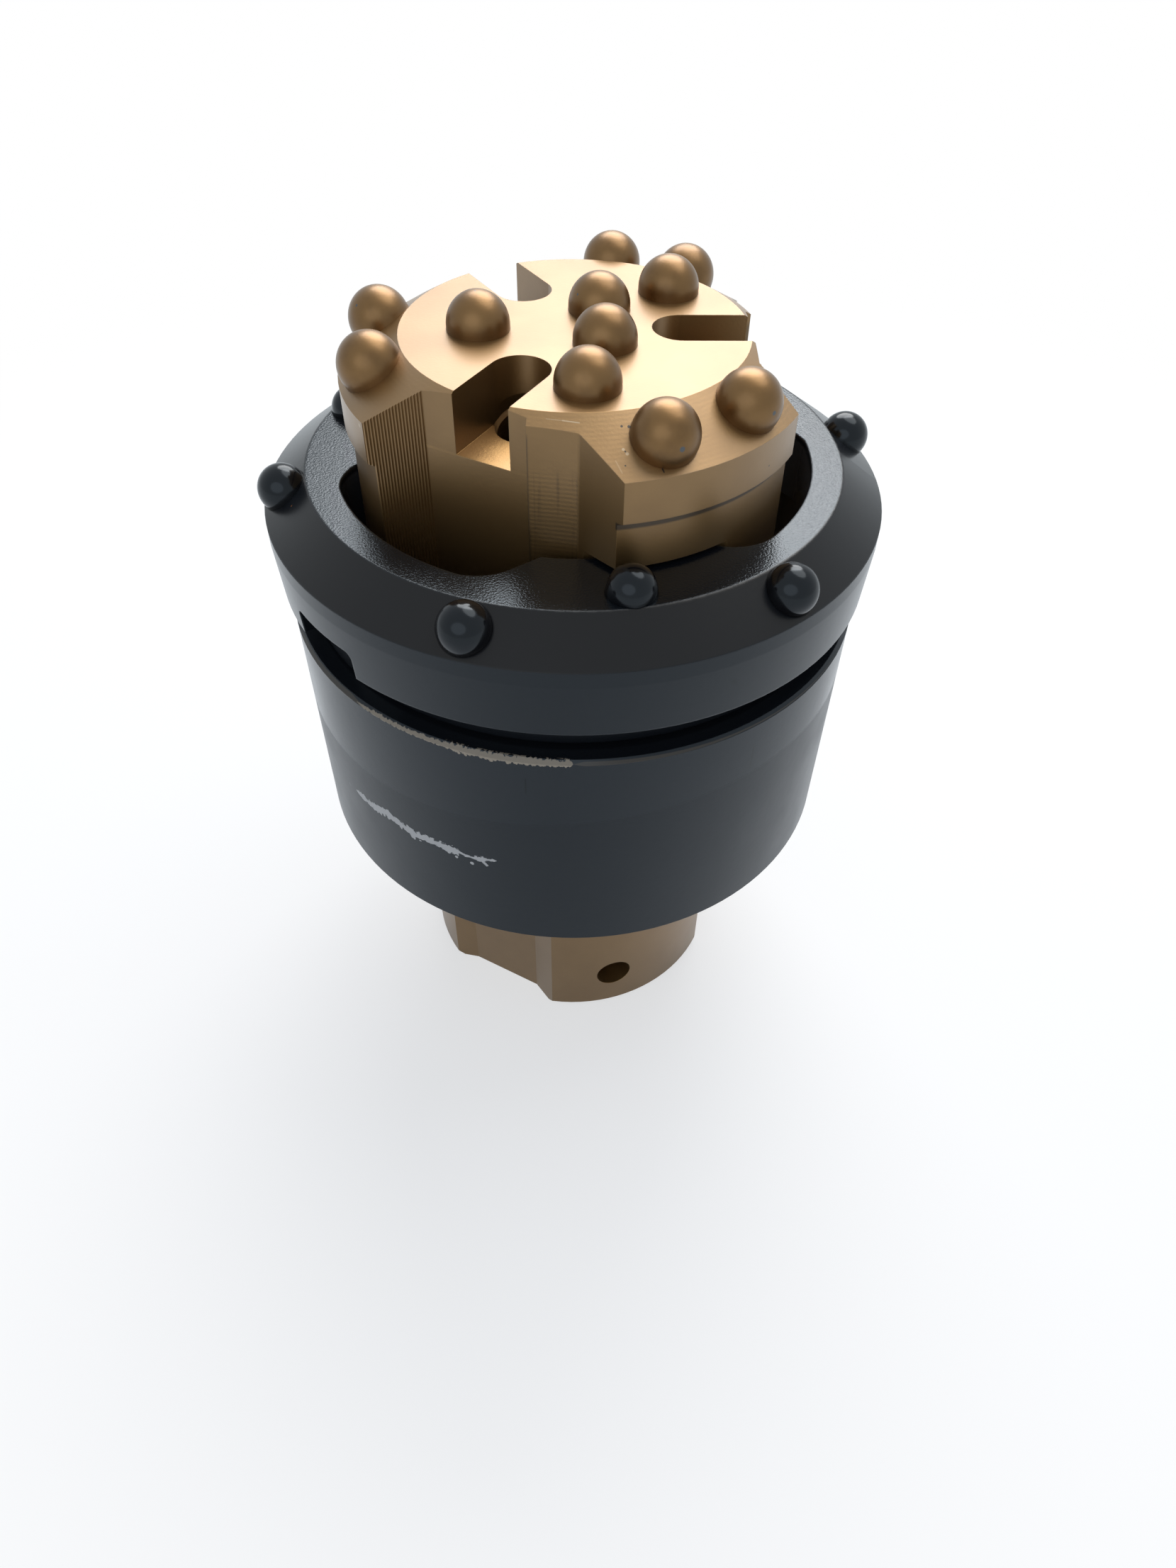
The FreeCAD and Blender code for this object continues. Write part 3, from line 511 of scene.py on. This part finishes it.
# The bore is painted lighter, as painted light in its deep shade
colour = ring.tint(in_bore, BORE_LIT_BLACK, colour)
roughness = ring.calc("MULTIPLY_ADD", on_face, -SMOOTHER_FACE, RING_ROUGHNESS)
shine = ring.calc("MULTIPLY_ADD", on_face, MORE_FACE_SHINE, SHINE)
shine_colour = ring.tint(on_face, FACE_SHINE, BLUISH_SHINE)
shine_colour = ring.tint(on_ring_bevel, PLAIN_SHINE, shine_colour)
dress(["ring_bit"], ring.finish(colour, roughness, RING_ROUND, Specular_IOR_Level=shine,
                                Specular_Tint=shine_colour))


# Ring buttons
# Nine hard-metal domes, pressed into the bevel and the lugs of the ring bit. The same black
# paint covers them, glossier than on the ring.
BUTTON_BLACK = (0.004, 0.004, 0.005, 1.0)
GLOSSY_ROUGHNESS = 0.16
RIPPLE_SIZE, RIPPLE_RELIEF = 1.5, 0.004

glossy = Paint("black paint on buttons")
glossy.raise_by(RIPPLE_RELIEF, glossy.noise(RIPPLE_SIZE))
dress(pieces("ring_", "button"), glossy.finish(
    BUTTON_BLACK, GLOSSY_ROUGHNESS, Specular_IOR_Level=SHINE, Specular_Tint=BLUISH_SHINE))


# Casing shoe
# The turned steel tube in whose front the ring bit turns, made to be fixed to the casing. It
# has the same black paint, a little duller, with a lighter band above, a bare worn upper edge
# on the left and a light scratch across the lower left.
BARE_EDGE = (0.30, 0.25, 0.19, 1.0)
EDGE_BROWN = (0.060, 0.048, 0.036, 1.0)
SCRATCH_WHITE = (0.42, 0.41, 0.40, 1.0)
FAINT_GREY = (0.030, 0.032, 0.035, 1.0)
MARK_BLACK = (0.0015, 0.0015, 0.0015, 1.0)
BAND_GREY = (0.0085, 0.010, 0.0125, 1.0)
SHOE_ROUGHNESS, SMOOTHER_BAND, SHOE_PATCHES, BARE_ROUGHNESS = 0.25, 0.10, 0.12, 0.55
SKIN_SIZE, SKIN_RELIEF = 2.0, 0.015
BAND_FROM, BAND_TO = -140.0, -40.0
BAND_LOW_LEFT, BAND_LOW_RIGHT = 116.6, 125.6
OUTSIDE_RADIUS = 73.4
EDGE_HEIGHT = 141.25
SCRATCH_HEIGHT, SCRATCH_CLIMB, SCRATCH_HALF_WIDTH = 102.0, 4.0, 1.5
RINGLET_PLACE, RINGLET_OUTER, RINGLET_INNER = (-62.0, -41.3, 103.2), 1.5, 1.0
UPRIGHT_MARKS = [(-54.85, -54.45, 126.8, 134.7, 0.4), (-98.6, -98.3, 131.0, 136.0, 0.8)]
BROWN_WIDTH = [(-160.0, 0.0), (-156.0, 0.45), (-136.0, 0.6), (-132.0, 0.0), (-90.0, 0.0),
               (-88.0, 0.4), (-60.0, 0.15), (-22.0, 0.0)]
BARE_WIDTH = [(-134.0, 0.0), (-131.0, 0.35), (-114.0, 0.45), (-110.0, 0.80), (-96.0, 0.75),
              (-90.6, 0.70), (-90.0, 0.0)]
EDGE_FLAKES = [((-26.2, -70.1, 140.3), 0.45), ((-24.6, -70.6, 140.2), 0.40),
               ((-18.7, -72.4, 140.3), 0.55), ((-14.9, -73.3, 140.3), 0.40)]
SCRATCH_COURSE = [
    (-142.0, 0.40), (-136.0, 0.38), (-134.0, 0.35), (-131.0, 0.74), (-128.5, 0.68), (-126.0, 0.50),
    (-123.3, 0.24), (-120.5, 0.50), (-118.0, 0.48), (-115.3, 0.38), (-113.0, 0.44),
    (-111.0, 0.26), (-108.5, 0.36), (-104.0, 0.60)]
SCRATCH_WIDTH = [
    (-141.0, 0.0), (-140.8, 0.40), (-138.5, 0.75), (-136.0, 0.70), (-134.0, 0.95), (-131.0, 1.0),
    (-128.5, 0.95), (-126.0, 0.90), (-123.0, 0.95), (-120.5, 0.85), (-118.0, 0.65),
    (-115.8, 0.95), (-113.0, 0.90), (-112.7, 0.35), (-110.5, 0.30), (-109.0, 0.55),
    (-106.0, 0.45), (-104.8, 0.0)]
SCRATCH_SPOTS = [((-25.7, -70.0, 100.8), 0.6), ((-29.7, -68.4, 101.4), 0.5)]
SCRATCH_TAIL = ((-23.3, -70.8, 103.2), (-21.6, -71.4, 101.3), 0.45)
SMEAR = ((-65.4, -35.8, 104.9), (-64.3, -37.7, 102.4), 0.8)
SMEAR_SPOT = ((-60.2, -44.0, 102.7), 0.7)
FINE_MARK = ((47.2, -57.8, 125.0), (48.8, -56.4, 123.5), 0.12)

shoe = Paint("black paint on shoe")
outside = shoe.above(shoe.radius, OUTSIDE_RADIUS, soft=0.2)


def frayed(size, stretch=(1.0, 1.0, 1.0)):
    """How much of a streak's width is left at each place, as a share."""
    return shoe.ramp(shoe.noise(size, 5.0, stretch), 0.3, 0.7, start=0.45, end=1.45)


def streak(level, half_width, fray):
    """1 within half_width of a level on the shoe's outside, with frayed borders."""
    aside = shoe.calc("ABSOLUTE", shoe.calc("SUBTRACT", shoe.z, level))
    past = shoe.calc("SUBTRACT", aside, shoe.calc("MULTIPLY", half_width, fray))
    return shoe.both(shoe.below(past, 0.0, soft=0.1), outside, shoe.ramp(half_width, 0.0, 0.04))


shoe.raise_by(SKIN_RELIEF, shoe.noise(SKIN_SIZE, detail=3.0))
band_low = shoe.ramp(shoe.azimuth, BAND_FROM, BAND_TO, BAND_LOW_LEFT, BAND_LOW_RIGHT)
on_band = shoe.above(shoe.calc("SUBTRACT", shoe.z, band_low), 0.0, soft=0.6)
colour = shoe.tint(on_band, BAND_GREY, BLACK)
brown = shoe.curve(shoe.azimuth, BROWN_WIDTH)
colour = shoe.tint(streak(EDGE_HEIGHT, brown, 1.0), EDGE_BROWN, colour)
worn = shoe.curve(shoe.azimuth, BARE_WIDTH)
bare = shoe.either(streak(EDGE_HEIGHT, worn, frayed(0.9, (1.0, 1.0, 0.3))),
                   shoe.spots(EDGE_FLAKES))
colour = shoe.tint(bare, BARE_EDGE, colour)
centre = shoe.calc("MULTIPLY_ADD", shoe.curve(shoe.azimuth, SCRATCH_COURSE), SCRATCH_CLIMB,
                   SCRATCH_HEIGHT)
width = shoe.calc("MULTIPLY", shoe.curve(shoe.azimuth, SCRATCH_WIDTH), SCRATCH_HALF_WIDTH)
scrape = shoe.either(streak(centre, width, frayed(1.2)), shoe.line(*SCRATCH_TAIL),
                     shoe.spots(SCRATCH_SPOTS))
colour = shoe.tint(scrape, SCRATCH_WHITE, colour)
smear = shoe.either(shoe.line(*SMEAR), shoe.spot(*SMEAR_SPOT))
colour = shoe.tint(smear, FAINT_GREY, colour)
hollow = shoe.calc("SUBTRACT", 1.0, shoe.spot(RINGLET_PLACE, RINGLET_INNER))
dark = shoe.either(shoe.both(shoe.spot(RINGLET_PLACE, RINGLET_OUTER), hollow),
                   shoe.line(*FINE_MARK))
for start, end, foot, top, soft in UPRIGHT_MARKS:
    mark = shoe.both(shoe.within(shoe.azimuth, start, end, soft=0.08),
                     shoe.within(shoe.z, foot, top, soft))
    dark = shoe.either(dark, mark)
colour = shoe.tint(shoe.both(dark, outside), MARK_BLACK, colour)
plain = shoe.calc("MULTIPLY_ADD", on_band, -SMOOTHER_BAND, SHOE_ROUGHNESS)
plain = shoe.calc("MULTIPLY_ADD", shoe.noise(PATCH_SIZE, detail=3.0), SHOE_PATCHES, plain)
roughness = shoe.ramp(shoe.either(bare, scrape), 0.0, 1.0, plain, BARE_ROUGHNESS)
dress(["casing_shoe"], shoe.finish(colour, roughness, Specular_IOR_Level=SHINE,
                                   Specular_Tint=BLUISH_SHINE))


# Locking ring
# Two half rings of bare turned steel, laid into the grooves between the shoe and the ring
# bit. They hold the ring bit in the shoe and let it turn, and they are out of sight.
STEEL = (0.36, 0.36, 0.37, 1.0)
STEEL_ROUGHNESS = 0.38
STEEL_GRAIN_SIZE, STEEL_GRAIN_RELIEF = 1.5, 0.010

steel = Paint("bare steel")
steel.raise_by(STEEL_GRAIN_RELIEF, steel.noise(STEEL_GRAIN_SIZE, detail=3.0))
dress(pieces("locking_ring"), steel.finish(STEEL, STEEL_ROUGHNESS, Metallic=1.0))
